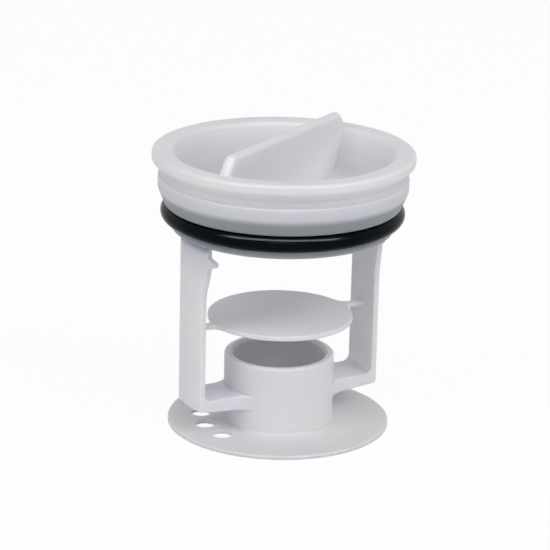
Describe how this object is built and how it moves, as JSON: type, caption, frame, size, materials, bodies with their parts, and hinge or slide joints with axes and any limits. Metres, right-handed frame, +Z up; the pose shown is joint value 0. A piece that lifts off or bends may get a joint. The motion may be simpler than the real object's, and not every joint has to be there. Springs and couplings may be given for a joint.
{
  "type": "washing machine lint filter",
  "caption": "Drain-pump lint filter: round cap with a finger recess and grip bar, a rubber sealing ring, and legs that carry a deflector disc, a collar and a base plate with drain holes.",
  "frame": {"origin": "middle of the base plate's underside, on the axis of the cap and collar", "axes": "+Z up along that axis to the cap, +X through one of the legs"},
  "size_m": [0.07, 0.07, 0.0806],
  "materials": {
    "white_plastic": "moulded natural polypropylene, satin",
    "black_rubber": "smooth black rubber, slightly shiny"
  },
  "bodies": {
    "root": {"filter_body": "white_plastic", "sealing_ring": "black_rubber"}
  },
  "joints": []
}
